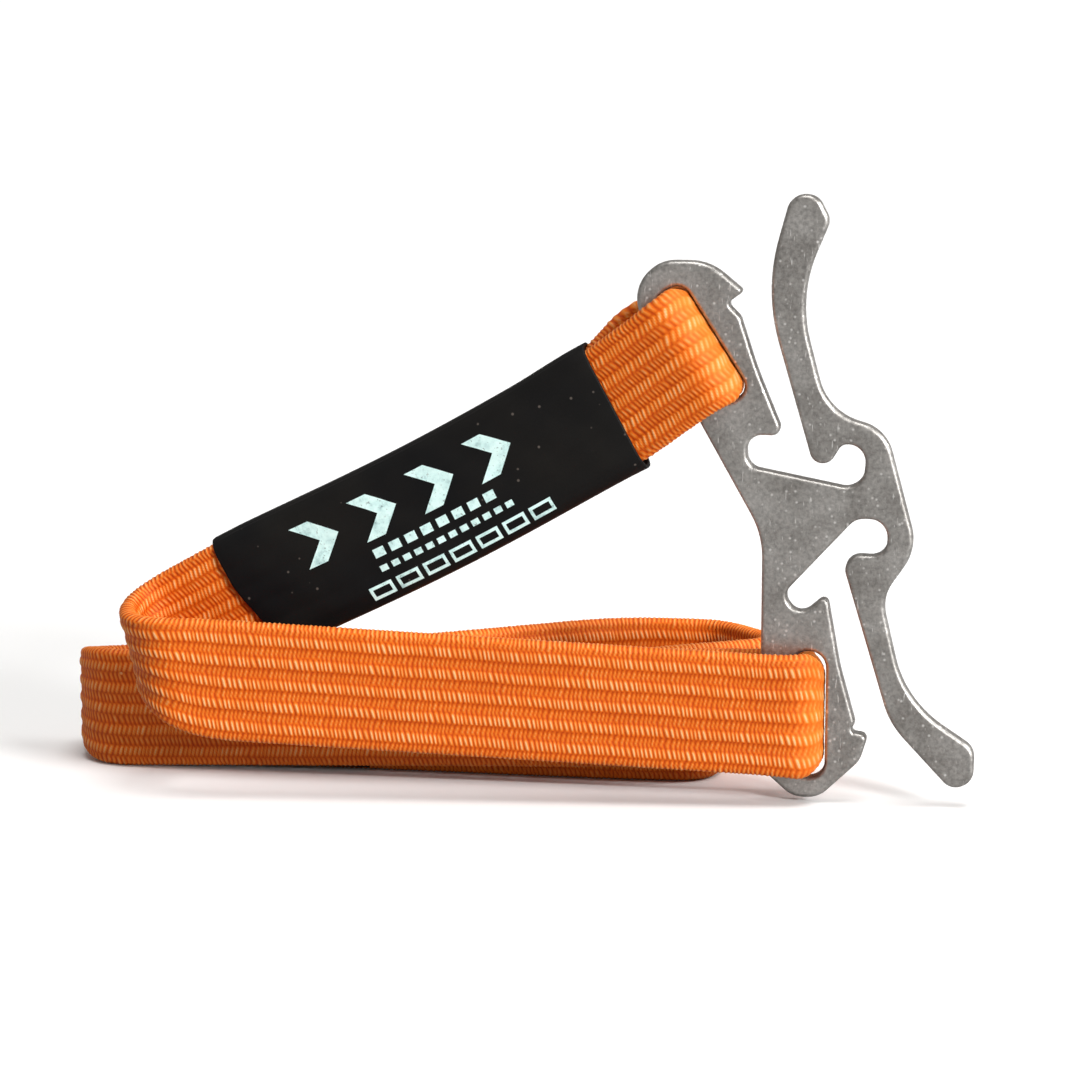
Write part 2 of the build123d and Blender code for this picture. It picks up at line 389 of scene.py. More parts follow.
def write_mesh(name, points, quads, ngons=(), attributes=None):
    """A smooth-shaded mesh object from millimetre points, quads and a few end faces."""
    tri = np.concatenate([quads[:, [0, 1, 2]], quads[:, [0, 2, 3]]])
    a, b, c = (points[tri[:, k]] for k in range(3))
    volume = float((a * np.cross(b, c)).sum())
    if volume < 0:
        quads = quads[:, ::-1]
        ngons = [list(reversed(f)) for f in ngons]
    mesh = bpy.data.meshes.new(name)
    mesh.vertices.add(len(points))
    mesh.vertices.foreach_set("co", (points * MM).astype(np.float32).ravel())
    loops = np.concatenate([quads.ravel()] + [np.array(f) for f in ngons]).astype(np.int32)
    totals = np.array([4] * len(quads) + [len(f) for f in ngons], np.int32)
    starts = np.concatenate([[0], np.cumsum(totals)[:-1]]).astype(np.int32)
    mesh.loops.add(len(loops))
    mesh.loops.foreach_set("vertex_index", loops)
    mesh.polygons.add(len(totals))
    mesh.polygons.foreach_set("loop_start", starts)
    mesh.polygons.foreach_set("use_smooth", np.ones(len(totals), bool))
    mesh.update(calc_edges=True)
    mesh.validate()
    for key, values in (attributes or {}).items():
        kind = "FLOAT" if values.ndim == 1 else "FLOAT_VECTOR"
        layer = mesh.attributes.new(key, kind, "POINT")
        field = "value" if kind == "FLOAT" else "vector"
        layer.data.foreach_set(field, values.astype(np.float32).ravel())
    made = bpy.data.objects.new(name, mesh)
    bpy.context.scene.collection.objects.link(made)
    return made


def closed_tube(name, rings, attributes=None, recess=0.35, inset=0.86):
    """A tube from rings x around x 3 points, each end closed by a slightly recessed cap."""
    def cap(ring, inward):
        centre = ring.mean(0)
        rim = centre + (ring - centre) * inset
        return rim, rim + inward * recess

    first_rim, first_floor = cap(rings[0], unit(rings[1].mean(0) - rings[0].mean(0)))
    last_rim, last_floor = cap(rings[-1], unit(rings[-2].mean(0) - rings[-1].mean(0)))
    rings = np.concatenate([[first_floor, first_rim], rings, [last_rim, last_floor]])
    count, around = rings.shape[:2]
    ends = [list(range(around))[::-1], [(count - 1) * around + j for j in range(around)]]
    if attributes:
        attributes = {k: np.concatenate([v[:1], v[:1], v, v[-1:], v[-1:]]) for k, v in attributes.items()}
        attributes = {k: v.reshape(-1, 3) if v.ndim == 3 else v.ravel() for k, v in attributes.items()}
    return write_mesh(name, rings.reshape(-1, 3), ring_faces(count, around), ends, attributes)


# ---------------------------------------------------------------- the woven strap
def weave_columns():
    """The columns of yarns across one face: (left edge, right edge, is a rib, samples)."""
    found = [(-face_half, -face_half + valley_width / 2, False, 2)]
    for k in range(ribs):
        left = found[-1][1]
        right = left + rib_width
        found.append((left, right, True, 5))
        if k < ribs - 1:
            found.append((right, right + valley_width, False, 3))
        else:
            found.append((right, face_half, False, 2))
    return found


def strap_outline():
    """The section's points in order round it: (across, thickness, side, column, place in column)."""
    rows = []
    columns = weave_columns()
    for side in (1, -1):
        for number, (left, right, is_rib, samples) in enumerate(columns):
            middle, half = (left + right) / 2, (right - left) / 2
            if number in (0, len(columns) - 1):
                middle, half = math.copysign(face_half, middle), valley_width / 2
            points = np.linspace(left, right, samples + 1)
            if number < len(columns) - 1:
                points = points[:-1]
            for c in points:
                q = (c - middle) / half
                t = crown - rib_groove * (abs(q) ** 3 * 0.6 if is_rib else 1 - 0.4 * abs(q) ** 3)
                rows.append((side * c, side * t, side, side * (number + 1), side * q))
        end_t = crown - rib_groove
        for k in range(1, edge_samples + 1):
            turn = math.pi / 2 - math.pi * k / (edge_samples + 1)
            edge_c = face_half + 0.97 * edge_reach * math.cos(turn)
            place = math.sin(turn)
            rows.append((side * edge_c, side * end_t * place, 0, side * edge_column, place))
    return np.array(rows)


outline = strap_outline()


def weave_relief(s):
    """The yarns at each of the distances s and each outline point: relief, swell and tone.

    Relief is 0 between two yarns and 1 on a yarn's middle; the material paints shade and highlight
    from it. Swell is the same with each yarn's own height. Tone is each yarn's own random shade,
    set higher on the rib columns and lower on the valley columns as painted highlight and shade.
    """
    shades = 2048
    relief = np.zeros((len(s), len(outline)))
    swell = np.zeros_like(relief)
    tone = np.zeros_like(relief)
    for j, (_, _, side, column, q) in enumerate(outline):
        seed = int(column) + yarn_seed
        in_rib = int(abs(column)) % 2 == 0 and side != 0
        tilt = rib_tilt if in_rib else valley_tilt
        if side == 0:
            tilt, q = 0, 0.0
        drift = wander(s, seed, drift_long, drift_size)
        phase = s / yarn_pitch + yarn_slant * q * tilt + 0.5 * in_rib + drift
        ridge = (0.5 + 0.5 * np.cos(2 * np.pi * phase)) ** 1.15
        table = np.random.default_rng(seed).random(shades)
        own = table[np.floor(phase + 0.5).astype(int) % shades]
        dive = 1 - 0.7 * min(abs(q), 1.0) ** 3
        relief[:, j] = ridge * dive
        swell[:, j] = ridge * dive * (0.75 + 0.5 * own) * (1.0 if in_rib else 0.85)
        # Rib columns get a higher tone and valley columns a lower one: painted highlight and painted
        # shade, over each yarn's own random shade.
        tone[:, j] = 0.4 + 0.55 * own if in_rib else 0.12 + 0.4 * own
    return relief, swell, tone


def strap_rings(s):
    """The strap's skin at distances s, with its weave, and the values that its material reads."""
    p, _, w, t = path.at(s)
    relief, swell, tone = weave_relief(s)
    c0, t0, side, column, place_in = outline.T
    on_edge = side == 0
    edge_out = np.sqrt(np.clip(1 - place_in**2, 0, 1))
    normal_c = np.where(on_edge, np.sign(c0) * edge_out, 0)
    normal_t = np.where(on_edge, place_in * np.sign(column), side)
    share = width_share(s)[:, None]
    flat = fold_flatness(s)[:, None]
    height = yarn_height * (swell * (1 - 0.7 * flat) - yarn_sink)
    # Round the slot folds the yarn colour is set even and paler: a painted highlight on the stretched
    # weave, without the painted shade between yarns.
    relief = relief * (1 - flat) + 0.7 * flat
    wave = np.stack([wander(s, slide_seed + k, slide_long, slide_size) for k in range(slide_lines)], 1)
    last = slide_lines - 1
    line = np.clip((c0 + face_half) / (2 * face_half) * last, 0, last).astype(int)
    slide = wave[:, line] * (np.abs(c0) < face_half - 0.5)
    cc = (c0[None, :] + normal_c * height + slide) * share + edge_draw(s, c0)
    lift = np.where(on_edge, 0.0, np.sign(t0) * (crown - np.abs(t0)))
    tt = t0[None, :] + lift * flat + normal_t * height
    rings = p[:, None, :] + w[:, None, :] * cc[..., None] + t[:, None, :] * tt[..., None]
    place = np.stack(np.broadcast_arrays(s[:, None], c0[None, :], tone), -1)
    # The groove depth, which the material turns into painted shade in the rib grooves.
    groove = np.broadcast_to((crown - np.abs(t0)) / rib_groove * ~on_edge, relief.shape)
    return rings, {"relief": relief, "weave": place, "groove": np.array(groove)}


def strap_piece(name, start, end, step):
    """One piece of the woven strap between two distances, in rings about that step apart."""
    count = max(3, int(round((end - start) / step)) + 1)
    rings, attributes = strap_rings(np.linspace(start, end, count))
    return closed_tube(name, rings, attributes)


def rubber_strand(name, start, end, number):
    """One flat rubber strand inside the sheath, between two distances along the strap."""
    s = np.linspace(start + 0.5, end - 0.5, max(3, int((end - start) / 1.0)))
    p, _, w, t = path.at(s)
    turns = np.linspace(0, 2 * np.pi, 12, endpoint=False)
    wide = np.sign(np.cos(turns)) * np.abs(np.cos(turns)) ** strand_squareness
    thick = np.sign(np.sin(turns)) * np.abs(np.sin(turns)) ** strand_squareness
    cc = (number - ribs // 2) * strand_pitch + wide * strand_half_width
    tt = thick * strand_half_thick
    placed = cc[None, :] * width_share(s)[:, None] + edge_draw(s, cc)
    rings = p[:, None] + w[:, None] * placed[..., None]
    rings = rings + t[:, None] * tt[None, :, None]
    return closed_tube(name, rings, recess=0.02, inset=0.8)


# ---------------------------------------------------------------- materials
class Nodes:
    """A new material with a Principled shader, and short ways to add and join its nodes.

    Materials read places in metres, except the strap's, which reads its "weave" attribute in
    millimetres: distance along the strap, place across it, and each yarn's tone, which holds its own
    random shade with painted highlight on the rib columns and painted shade on the valley columns.
    """

    def __init__(self, name):
        self.material = bpy.data.materials.new(name)
        self.material.use_nodes = True
        self.tree = self.material.node_tree
        self.tree.nodes.clear()
        output = self.tree.nodes.new("ShaderNodeOutputMaterial")
        self.shader = self.tree.nodes.new("ShaderNodeBsdfPrincipled")
        self.join(self.shader.outputs[0], output.inputs[0])

    def join(self, source, target):
        self.tree.links.new(source, target)

    def set(self, **values):
        for key, value in values.items():
            self.shader.inputs[key.replace("_", " ")].default_value = value

    def link(self, name, source):
        self.join(source, self.shader.inputs[name])

    def feed(self, socket, value):
        if isinstance(value, bpy.types.NodeSocket):
            self.join(value, socket)
        else:
            socket.default_value = value

    def position(self):
        """The place in the object's frame, in metres."""
        return self.tree.nodes.new("ShaderNodeNewGeometry").outputs["Position"]

    def attribute(self, name, output="Fac"):
        node = self.tree.nodes.new("ShaderNodeAttribute")
        node.attribute_name = name
        return node.outputs[output]

    def part(self, vector, axis):
        node = self.tree.nodes.new("ShaderNodeSeparateXYZ")
        self.join(vector, node.inputs[0])
        return node.outputs[axis]

    def scaled(self, vector, scale):
        node = self.tree.nodes.new("ShaderNodeMapping")
        self.join(vector, node.inputs["Vector"])
        node.inputs["Scale"].default_value = scale
        return node.outputs[0]

    def noise(self, vector, scale, detail=3.0, rough=0.5):
        node = self.tree.nodes.new("ShaderNodeTexNoise")
        self.join(vector, node.inputs["Vector"])
        node.inputs["Scale"].default_value = scale
        node.inputs["Detail"].default_value = detail
        node.inputs["Roughness"].default_value = rough
        return node.outputs["Fac"]

    def cells(self, vector, scale):
        node = self.tree.nodes.new("ShaderNodeTexVoronoi")
        self.join(vector, node.inputs["Vector"])
        node.inputs["Scale"].default_value = scale
        return node.outputs["Distance"]

    def math(self, kind, a, b=0.0):
        node = self.tree.nodes.new("ShaderNodeMath")
        node.operation = kind
        self.feed(node.inputs[0], a)
        self.feed(node.inputs[1], b)
        return node.outputs[0]

    def ramp(self, fac, stops):
        node = self.tree.nodes.new("ShaderNodeValToRGB")
        self.join(fac, node.inputs[0])
        node.color_ramp.elements[0].position = stops[0][0]
        node.color_ramp.elements[0].color = stops[0][1]
        node.color_ramp.elements[1].position = stops[-1][0]
        node.color_ramp.elements[1].color = stops[-1][1]
        for at, colour in stops[1:-1]:
            node.color_ramp.elements.new(at).color = colour
        return node.outputs[0]

    def mix(self, a, b, fac, mode="MIX"):
        node = self.tree.nodes.new("ShaderNodeMix")
        node.data_type = "RGBA"
        node.blend_type = mode
        self.feed(node.inputs[0], fac)
        self.feed(node.inputs[6], a)
        self.feed(node.inputs[7], b)
        return node.outputs[2]

    def bump(self, height, distance, strength=1.0):
        node = self.tree.nodes.new("ShaderNodeBump")
        node.inputs["Strength"].default_value = strength
        node.inputs["Distance"].default_value = distance
        self.join(height, node.inputs["Height"])
        self.join(node.outputs[0], self.shader.inputs["Normal"])


def grey(value):
    return (value, value, value, 1.0)


def strap_material():
    """Orange yarns, with painted shade (deep red) between them and in the rib grooves, a painted
    highlight (pale) on their tops, slow blotches and fine fibres.
    """
    n = Nodes("strap_orange")
    relief = n.attribute("relief")
    groove = n.attribute("groove")
    weave = n.attribute("weave", "Vector")
    yarn_tone_and_column_shade = n.math("SUBTRACT", n.part(weave, "Z"), 0.5)
    # Painted light: the yarn colour runs from painted shade (deep red) between the yarns to a painted
    # highlight (pale peach) on their tops, with the plain orange in between.
    lit = n.math("ADD", relief, n.math("MULTIPLY", yarn_tone_and_column_shade, n.math("MULTIPLY", relief, 0.75)))
    yarn_with_painted_light = n.ramp(lit, [
        (0.0, (0.54, 0.05, 0.001, 1)),
        (0.3, (0.86, 0.155, 0.006, 1)),
        (0.62, (0.95, 0.26, 0.03, 1)),
        (0.9, (0.98, 0.4, 0.13, 1)),
        (1.0, (1.0, 0.53, 0.25, 1)),
    ])
    blotch = n.noise(n.scaled(weave, (0.06, 0.25, 0.0)), 1.0, 2.0)
    tone = n.ramp(blotch, [(0.3, (0.9, 0.84, 0.8, 1)), (0.7, (1.0, 1.0, 1.0, 1))])
    toned = n.mix(yarn_with_painted_light, tone, 1.0, "MULTIPLY")
    # Painted shade: the strap is darkened in its rib grooves, by their depth.
    groove_shaded = n.mix(toned, (0.75, 0.55, 0.45, 1), n.math("MULTIPLY", groove, 0.28), "MULTIPLY")
    fibre = n.noise(n.scaled(weave, (14.0, 3.0, 0.0)), 1.0, 3.0, 0.6)
    fibre_tone = n.ramp(fibre, [(0.3, grey(0.86)), (0.7, grey(1.0))])
    n.link("Base Color", n.mix(groove_shaded, fibre_tone, 1.0, "MULTIPLY"))
    n.link("Roughness", n.ramp(fibre, [(0.2, grey(0.44)), (0.8, grey(0.6))]))
    n.set(Specular_IOR_Level=0.4, Sheen_Weight=0.08, Sheen_Roughness=0.4)
    n.shader.inputs["Sheen Tint"].default_value = (1.0, 0.62, 0.3, 1)
    n.shader.inputs["Specular Tint"].default_value = (1.0, 0.7, 0.42, 1)
    n.bump(fibre, 0.00004, 0.6)
    return n.material


def rubber_material():
    """Natural latex: matt tan with a fine grain."""
    n = Nodes("rubber_tan")
    grain = n.noise(n.scaled(n.position(), (900, 900, 900)), 1.0, 3.0)
    n.link("Base Color", n.ramp(grain, [(0.3, (0.45, 0.33, 0.17, 1)), (0.7, (0.62, 0.49, 0.29, 1))]))
    n.set(Roughness=0.6)
    n.bump(grain, 0.00005, 0.4)
    return n.material


def sleeve_material():
    """Black shrink sleeve: nearly matt, slightly uneven, with a few specks of dust."""
    n = Nodes("sleeve_black")
    place = n.position()
    broad = n.noise(n.scaled(place, (60, 60, 60)), 1.0, 3.0)
    fine = n.noise(n.scaled(place, (2600, 2600, 2600)), 1.0, 4.0, 0.6)
    skin = n.ramp(broad, [(0.35, (0.0035, 0.0035, 0.004, 1)), (0.7, (0.0085, 0.0075, 0.0065, 1))])
    dust = n.cells(n.scaled(place, (330, 330, 330)), 1.0)
    spot = n.ramp(dust, [(0.05, grey(1.0)), (0.09, grey(0.0))])
    n.link("Base Color", n.mix(skin, (0.09, 0.075, 0.065, 1), spot))
    n.link("Roughness", n.ramp(fine, [(0.2, grey(0.5)), (0.8, grey(0.68))]))
    n.set(Specular_IOR_Level=0.14)
    n.bump(n.math("ADD", fine, n.math("MULTIPLY", spot, 0.4)), 0.00004, 0.6)
    return n.material


def print_material():
    """Pale mint print, blotched, with small worn specks."""
    n = Nodes("print_mint")
    place = n.position()
    blotch = n.noise(n.scaled(place, (520, 520, 520)), 1.0, 4.0, 0.65)
    speck = n.noise(n.scaled(place, (2400, 2400, 2400)), 1.0, 2.0)
    base = n.ramp(blotch, [
        (0.3, (0.36, 0.55, 0.54, 1)),
        (0.45, (0.62, 0.86, 0.83, 1)),
        (0.6, (0.74, 0.97, 0.93, 1)),
    ])
    worn = n.ramp(speck, [(0.28, grey(0.45)), (0.36, grey(1.0))])
    n.link("Base Color", n.mix(base, worn, 1.0, "MULTIPLY"))
    n.set(Roughness=0.55)
    n.bump(speck, 0.00002, 0.4)
    return n.material


def thread_material():
    """Black thread with a fine twist."""
    n = Nodes("thread_black")
    twist = n.noise(n.scaled(n.position(), (3000, 800, 3000)), 1.0, 2.0)
    n.link("Base Color", n.ramp(twist, [(0.3, grey(0.01)), (0.7, grey(0.04))]))
    n.set(Roughness=0.7)
    n.bump(twist, 0.00008, 0.6)
    return n.material


def cleat_material():
    """Tumbled grey metal: broad and fine mottle, small bright nicks and bright rub lines."""
    n = Nodes("cleat_metal")
    place = n.position()
    broad = n.noise(n.scaled(place, (160, 160, 160)), 1.0, 4.0, 0.55)
    grain = n.noise(n.scaled(place, (1500, 1500, 1500)), 1.0, 3.0, 0.65)
    tone = n.ramp(broad, [(0.32, (0.38, 0.361, 0.337, 1)), (0.68, (0.59, 0.57, 0.542, 1))])
    mottle = n.ramp(grain, [(0.34, grey(0.68)), (0.62, grey(1.0))])
    base = n.mix(tone, mottle, 1.0, "MULTIPLY")
    nick = n.cells(n.scaled(place, (700, 700, 700)), 1.0)
    nicks = n.ramp(nick, [(0.08, grey(1.0)), (0.2, grey(0.0))])
    rub = n.noise(n.scaled(place, (2500, 300, 500)), 1.0, 2.0)
    rubs = n.ramp(rub, [(0.66, grey(0.0)), (0.74, grey(1.0))])
    bright = n.math("MULTIPLY", n.math("MAXIMUM", nicks, rubs), 0.75)
    n.link("Base Color", n.mix(base, (0.9, 0.88, 0.85, 1), bright))
    n.link("Roughness", n.ramp(grain, [(0.25, grey(0.34)), (0.75, grey(0.52))]))
    n.set(Metallic=0.92, Specular_IOR_Level=0.5)
    n.bump(n.math("ADD", grain, n.math("MULTIPLY", nicks, -0.6)), 0.00006, 0.55)
    return n.material


def floor_material():
    """Near white to the eye, and darker to the light that it sends back, as a lit table in a dim room."""
    n = Nodes("floor_pale")
    path_kind = n.tree.nodes.new("ShaderNodeLightPath").outputs["Is Camera Ray"]
    n.link("Base Color", n.mix(grey(0.4), (0.93, 0.93, 0.925, 1), path_kind))
    n.set(Roughness=0.9, Specular_IOR_Level=0.1)
    return n.material


def paint(piece, material):
    piece.data.materials.clear()
    piece.data.materials.append(material)


orange = strap_material()
rubber = rubber_material()
black = sleeve_material()
mint = print_material()
thread = thread_material()
metal = cleat_material()


# ---------------------------------------------------------------- camera, floor and light
def point_along(made, way):
    """Turn a camera or a light so that it looks along that direction."""
    made.rotation_mode = "QUATERNION"
    made.rotation_quaternion = Vector(way).to_track_quat("-Z", "Y")


def camera():
    """The camera, at the photograph's viewing angle."""
    target = np.array((5.2, plate_y, 40.9)) * MM
    azimuth, elevation, distance = math.radians(9), math.radians(11), 0.55
    sensor, lens = 36.0, 114.583333
    level = math.cos(elevation)
    back = np.array((math.sin(azimuth) * level, -math.cos(azimuth) * level, math.sin(elevation)))
    data = bpy.data.cameras.new("camera")
    made = bpy.data.objects.new("camera", data)
    bpy.context.scene.collection.objects.link(made)
    made.location = target + back * distance
    point_along(made, tuple(-back))
    data.sensor_width = sensor
    data.lens = lens
    data.clip_start, data.clip_end = 0.01, 50.0
    bpy.context.scene.camera = made


def floor():
    """A plain floor, just under the strap's yarns that stand proud of its edge."""
    half, level = 8.0, -0.3 * MM
    corners = [(-half, -half, level), (half, -half, level), (half, half, level), (-half, half, level)]
    mesh = bpy.data.meshes.new("floor")
    mesh.from_pydata(corners, [], [(0, 1, 2, 3)])
    made = bpy.data.objects.new("floor", mesh)
    bpy.context.scene.collection.objects.link(made)
    paint(made, floor_material())


def area_light(name, place, aim, size, power):
    data = bpy.data.lights.new(name, "AREA")
    data.shape = "DISK"
    data.size = size
    data.energy = power
    made = bpy.data.objects.new(name, data)
    bpy.context.scene.collection.objects.link(made)
    made.location = place
    point_along(made, Vector(aim) - Vector(place))


def sun_light(name, way, strength, spread):
    data = bpy.data.lights.new(name, "SUN")
    data.energy = strength
    data.angle = math.radians(spread)
    made = bpy.data.objects.new(name, data)
    bpy.context.scene.collection.objects.link(made)
    point_along(made, way)


def lights():
    """A low sun from the left, a high soft one, a small light on the plate's edges, and the room."""
    world = bpy.data.worlds.new("studio")
    bpy.context.scene.world = world
    world.use_nodes = True
    room = world.node_tree.nodes["Background"]
    room.inputs["Color"].default_value = (1, 0.97, 0.94, 1)
    room.inputs["Strength"].default_value = 0.29
    sun_light("key", (-0.88, 0.68, -0.42), 3.2, 14)
    sun_light("top", (-0.1, 0.15, -1.0), 1.7, 30)
    area_light("edge", (0.7, 0.15, 0.45), (0.05, 0, 0.05), 0.35, 2.5)
    bpy.context.scene.view_settings.view_transform = "Standard"


camera()
floor()
lights()

# ---------------------------------------------------------------- strap pieces
rear_start = path.mark["rear_start"]
sleeve_middle = middle_of("front")
slot_cut = middle_of("lower")
far_start = path.mark["far_start"]
far_end = path.mark["tail_start"]
tail_back_long = 150.0
tail_cut = far_end + tail_back_long

strap_end = strap_piece("strap_upper_loop", rear_start, sleeve_middle, 0.19)
strap_front = strap_piece("strap_front_run", sleeve_middle, slot_cut, 0.17)
strap_rear = strap_piece("strap_rear_run", slot_cut, far_start, 0.22)
strap_far = strap_piece("strap_far_bend_weave", far_start, far_end, 0.17)
tail_back = strap_piece("tail_back_run", far_end, tail_cut, 0.19)
tail_inner = strap_piece("tail_inner_folds", tail_cut, path.long, 0.28)
for piece in (strap_end, strap_front, strap_rear, strap_far, tail_back, tail_inner):
    paint(piece, orange)
for piece in (strap_end, strap_front, strap_rear):
    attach(piece, "strap")
for piece in (tail_back, tail_inner):
    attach(piece, "tail")
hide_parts("strap_loop_sheath")
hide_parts("tail_sheath")
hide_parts("strap_far_bend")
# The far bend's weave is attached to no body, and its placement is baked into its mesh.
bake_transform(strap_far)

for number in range(ribs):
    for prefix, body, start, end in (
        ("loop", "strap", rear_start, far_start),
        ("tail", "tail", far_end, path.long),
    ):
        strand = rubber_strand(f"{prefix}_rubber_{number + 1}", start, end, number)
        paint(strand, rubber)
        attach(strand, body)
        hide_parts(f"{prefix}_strand_{number + 1}")


# ---------------------------------------------------------------- shrink sleeves
def rounded_section(half_across, half_thick, radius, count):
    """A rounded rectangle's points and outward normals, evenly spaced round it."""
    straight = np.array((half_across - radius, half_thick - radius))
    runs = []
    corners = [((1, 1), 0), ((-1, 1), 90), ((-1, -1), 180), ((1, -1), 270)]
    for signs, start in corners:
        for turn in np.radians(np.linspace(start, start + 90, 13)):
            normal = np.array((math.cos(turn), math.sin(turn)))
            runs.append((straight * signs + radius * normal, normal))
    points = np.array([p for p, _ in runs])
    normals = np.array([m for _, m in runs])
    closed = np.concatenate([points, points[:1]])
    at = np.concatenate([[0], np.cumsum(np.linalg.norm(np.diff(closed, axis=0), axis=1))])
    want = np.linspace(0, at[-1], count, endpoint=False)
    closed_n = np.concatenate([normals, normals[:1]])
    spread = [np.stack([np.interp(want, at, v[:, k]) for k in range(2)], 1) for v in (closed, closed_n)]
    return spread[0], unit(spread[1])


def sleeve_tube(name, outer, wall, place, stations, shape):
    """A thin tube with real wall thickness: outer skin, both cut ends and inner skin."""
    points, normals = outer
    rings = []
    for layer in (0.0, wall):
        skin = []
        for u in stations:
            ring = points - normals * layer
            skin.append(place(u, ring, shape(u, ring, normals)))
        rings.append(np.array(skin))
    outer_skin, inner_skin = rings
    rim_end = outer_skin[-1] * 0.5 + inner_skin[-1] * 0.5
    rim_start = outer_skin[0] * 0.5 + inner_skin[0] * 0.5
    everything = np.concatenate([outer_skin, [rim_end], inner_skin[::-1], [rim_start]])
    count, around = everything.shape[:2]
    quads = ring_faces(count, around)
    i = (count - 1) * around
    j = np.arange(around)
    last = np.stack([i + j, i + (j + 1) % around, (j + 1) % around, j], -1)
    return write_mesh(name, everything.reshape(-1, 3), np.concatenate([quads, last]))


sleeve_half_across = strap_width / 2 + sleeve_overhang
sleeve_outer = rounded_section(sleeve_half_across, sleeve_half_gap + sleeve_wall, sleeve_round, 176)


def anchor_bulge(u, c):
    """How far the sleeve's skin stands out of its plain section: rib marks, waves and tight ends."""
    rib_depth, wave_size, fine_wave_size, end_depth, end_fade = 0.1, 0.09, 0.05, 0.28, 2.2
    between_ribs = (0.5 + 0.5 * np.cos(2 * np.pi * c / strand_pitch + np.pi)) ** 2
    marks = -rib_depth * between_ribs * (np.abs(c) < face_half)
    waves = wander(u + c * 0.7, sleeve_seed, 13.0, wave_size)
    waves = waves + wander(c * 1.4 - u * 0.25, fine_wave_seed, 9.0, fine_wave_size)
    ends = -end_depth * (np.exp(-u / end_fade) + np.exp(-(sleeve_long - u) / end_fade))
    return marks + waves + ends


def anchor_place(u, ring, rise):
    """Sleeve points in the frame: ring is (across, thickness) and u the distance from the left end.

    The left end is cut on a slant, and the right end flares a little at its top edge.
    """
    along = lean_vector(sleeve_lean)
    across = np.cross(along, BACK)
    c, t = ring[:, 0], ring[:, 1]
    cut_top, cut_span, cut_fade = 4.0, 12.0, 7.0
    flare_long, flare_low, flare_high = 15, 2.0, 10.0
    lower = np.clip((cut_top - c) / cut_span, 0, 1)
    cut = sleeve_cut * smoothstep(lower, 0, 1) * math.exp(-u / cut_fade)
    flare = sleeve_flare * smoothstep(u, sleeve_long - flare_long, sleeve_long)
    flare = flare * smoothstep(c, flare_low, flare_high)
    sideways = c - sleeve_drop + anchor_sag(u) + flare
    start = np.array((sleeve_left[0], plate_y, sleeve_left[1]))
    base = start + np.outer(u + cut, along) + np.outer(sideways, across) + np.outer(t, BACK)
    return base + rise


def anchor_shape(u, ring, normals):
    """What is added to each point of a ring of the printed sleeve, as a vector."""
    along = lean_vector(sleeve_lean)
    across = np.cross(along, BACK)
    size = anchor_bulge(np.full(len(ring), u), ring[:, 0])
    edge_inset = 0.15
    size = np.where(np.abs(normals[:, 1]) > 0.5, size, -edge_inset)
    return size[:, None] * (np.outer(normals[:, 0], across) + np.outer(normals[:, 1], BACK))


def make_anchor_sleeve():
    """The printed sleeve, with its rings closer together near its two ends."""
    end_zone = 3.0
    first = np.linspace(0, end_zone, 13)
    middle = np.linspace(end_zone, sleeve_long - end_zone, 120)
    last = np.linspace(sleeve_long - end_zone, sleeve_long, 13)
    u = np.concatenate([first[:-1], middle, last[1:]])
    made = sleeve_tube("anchor_sleeve_shrunk", sleeve_outer, sleeve_wall, anchor_place, u, anchor_shape)
    paint(made, black)
    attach(made, "strap")
    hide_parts("anchor_sleeve")


def make_tail_sleeve():
    """The plain sleeve on the tail's cut end."""
    past_end, floor_gap, edge_inset = 0.5, 0.02, 0.02
    wave_long, wave_size, end_depth, end_fade = 11.0, 0.05, 0.12, 1.6
    outer = rounded_section(strap_width / 2 - floor_gap, tail_sleeve_half, tail_sleeve_round, 120)
    end_x, end_y = tail_corners[-1]

    def place(u, ring, rise):
        centre = np.array((end_x - past_end + u, plate_y + end_y, strap_width / 2 + floor_gap))
        return centre + np.outer(ring[:, 0], UP) + np.outer(ring[:, 1], BACK) + rise

    def shape(u, ring, normals):
        c = ring[:, 0]
        size = wander(np.full(len(ring), u) + c * 0.6, tail_sleeve_seed, wave_long, wave_size)
        ends = math.exp(-u / end_fade) + math.exp(-(tail_sleeve_long - u) / end_fade)
        size = np.where(np.abs(normals[:, 1]) > 0.5, size - end_depth * ends, -edge_inset)
        return size[:, None] * (np.outer(normals[:, 0], UP) + np.outer(normals[:, 1], BACK))

    u = np.linspace(0, tail_sleeve_long, 90)
    made = sleeve_tube("tail_sleeve_shrunk", outer, tail_sleeve_wall, place, u, shape)
    paint(made, black)
    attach(made, "tail")
    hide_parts("tail_sleeve")


make_anchor_sleeve()
make_tail_sleeve()


# ---------------------------------------------------------------- the sleeve's print
# Each row: number of marks, distance of the first from the sleeve's left end, pitch, height in the row.
arrow_row = (4, 16.5, 10.6, 3.4)
dash_row = (8, 24.5, 2.9, -2.4)
small_dash_row = (12, 24.0, 2.1, -5.0)
link_row = (7, 22.0, 4.9, -8.2)
arrow_half, arrow_arm = 3.6, 3.4
dash_size, small_dash_size = (1.9, 1.5), (1.3, 1.0)
link_size, link_line = (4.0, 2.2), 0.5
print_cell = 0.5
print_gap, print_thick = 0.02, 0.1


def centres(row):
    count, first, pitch, c = row
    return [(first + pitch * i, c) for i in range(count)]


def box_corners(u, c, width, height):
    signs = [(-1, -1), (1, -1), (1, 1), (-1, 1)]
    return [(u + sign_u * width / 2, c + sign_c * height / 2) for sign_u, sign_c in signs]


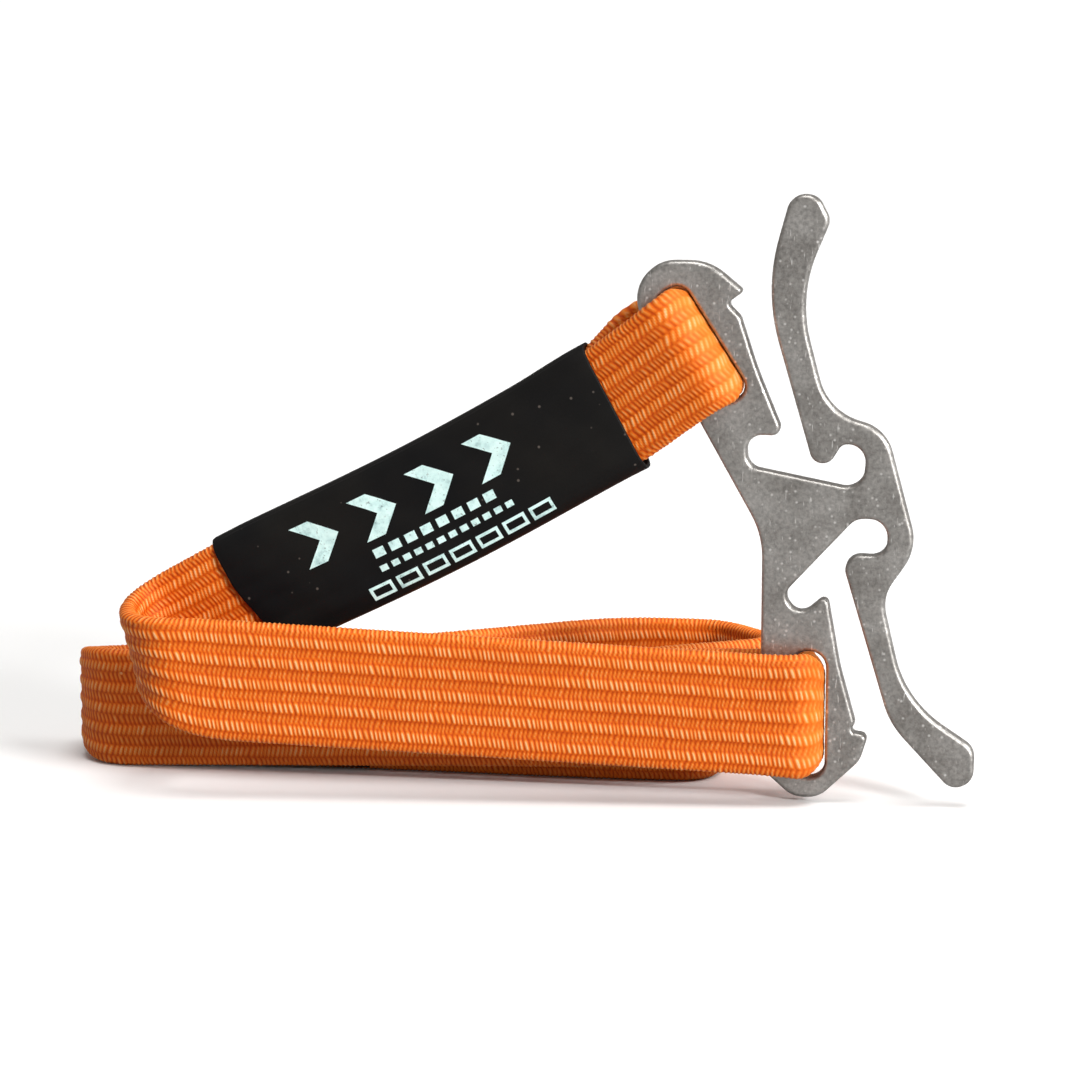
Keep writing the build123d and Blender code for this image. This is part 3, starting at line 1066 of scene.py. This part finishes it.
def print_patches():
    """Four-cornered patches of the generic marks, in (u, c): arrowheads, dashes and open links."""
    back, tip = -arrow_half, arrow_half
    low_arm = [(back, back), (back + arrow_arm, back), (tip, 0), (tip - arrow_arm, 0)]
    high_arm = [(tip - arrow_arm, 0), (tip, 0), (back + arrow_arm, tip), (back, tip)]
    patches = []
    for u, c in centres(arrow_row):
        for arm in (low_arm, high_arm):
            patches.append([(u + x, c + y) for x, y in arm])
    patches += [box_corners(u, c, *dash_size) for u, c in centres(dash_row)]
    patches += [box_corners(u, c, *small_dash_size) for u, c in centres(small_dash_row)]
    wide, high = link_size
    out_u, out_c = (wide - link_line) / 2, (high - link_line) / 2
    for u, c in centres(link_row):
        patches += [box_corners(u, c + side * out_c, wide, link_line) for side in (-1, 1)]
        patches += [box_corners(u + side * out_u, c, link_line, high - 2 * link_line) for side in (-1, 1)]
    return patches


def sleeve_front(u, c, lift):
    """Points on the sleeve's front skin, raised by lift."""
    along = lean_vector(sleeve_lean)
    across = np.cross(along, BACK)
    start = np.array((sleeve_left[0], plate_y, sleeve_left[1]))
    depth = sleeve_half_gap + sleeve_wall + anchor_bulge(u, c) + lift
    flat_half = sleeve_half_across - sleeve_round
    past = np.clip(np.abs(c) - flat_half, 0, sleeve_round - 0.05)
    depth = depth - (sleeve_round - np.sqrt(sleeve_round**2 - past**2))
    place = np.outer(u, along) + np.outer(c - sleeve_drop + anchor_sag(u), across) - np.outer(depth, BACK)
    return start + place


def make_print():
    """The marks as thin skins on the sleeve's front, each patch in small cells that follow it."""
    bm = bmesh.new()
    for corners in print_patches():
        a, b, c, d = (np.array(corner) for corner in corners)
        cells_u = max(1, round(np.linalg.norm(b - a) / print_cell))
        cells_c = max(1, round(np.linalg.norm(d - a) / print_cell))
        grid = []
        for v in np.linspace(0, 1, cells_c + 1):
            left, right = (1 - v) * a + v * d, (1 - v) * b + v * c
            flat = np.array([(1 - h) * left + h * right for h in np.linspace(0, 1, cells_u + 1)])
            skin = sleeve_front(flat[:, 0], flat[:, 1], print_gap)
            grid.append([bm.verts.new(tuple(place * MM)) for place in skin])
        for low, high in zip(grid, grid[1:]):
            for k in range(cells_u):
                bm.faces.new((low[k], low[k + 1], high[k + 1], high[k]))
    weld = 0.02 * MM
    bmesh.ops.remove_doubles(bm, verts=bm.verts[:], dist=weld)
    bm.normal_update()
    if sum(face.normal.y for face in bm.faces) > 0:
        bmesh.ops.reverse_faces(bm, faces=bm.faces[:])
    mesh = bpy.data.meshes.new("sleeve_marks")
    bm.to_mesh(mesh)
    bm.free()
    made = bpy.data.objects.new("sleeve_marks", mesh)
    bpy.context.scene.collection.objects.link(made)
    thick = made.modifiers.new("thick", "SOLIDIFY")
    thick.thickness = print_thick * MM
    thick.offset = 1.0
    paint(made, mint)
    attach(made, "strap")
    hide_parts("sleeve_print")


make_print()

# ---------------------------------------------------------------- CAD nodes that stay
paint(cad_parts["cleat_plate"], metal)
paint(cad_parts["anchor_stitching"], thread)
